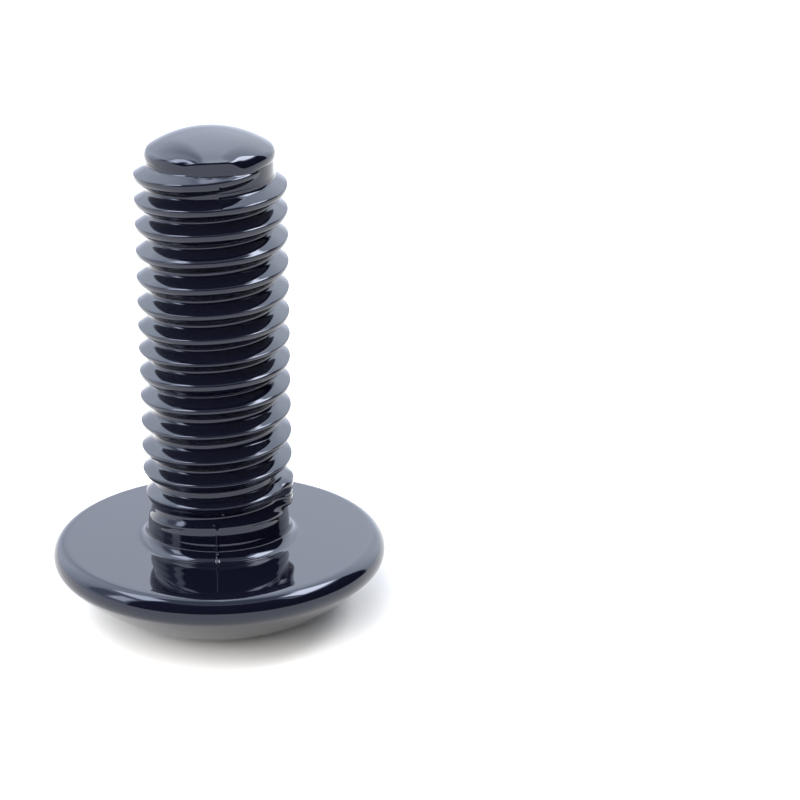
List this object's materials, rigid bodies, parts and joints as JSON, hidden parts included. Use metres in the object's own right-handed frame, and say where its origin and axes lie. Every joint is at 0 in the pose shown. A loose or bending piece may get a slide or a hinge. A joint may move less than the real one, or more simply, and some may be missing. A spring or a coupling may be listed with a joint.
{
  "type": "machine screw",
  "caption": "Machine screw with a wide domed head, a hex recess and a right-hand metric thread, under a thick coat of glossy black lacquer.",
  "frame": {"origin": "centre of the bearing face, the flat side of the head that clamps the work", "axes": "+Z along the shank from the head to the tip, +X and +Y across it, with two flats of the hex recess facing +Y and -Y"},
  "size_m": [0.0132, 0.0132, 0.02],
  "materials": {
    "lacquer": "glossy black lacquer, thick enough to round every edge, on steel"
  },
  "bodies": {
    "root": {"screw": "lacquer"}
  },
  "joints": []
}
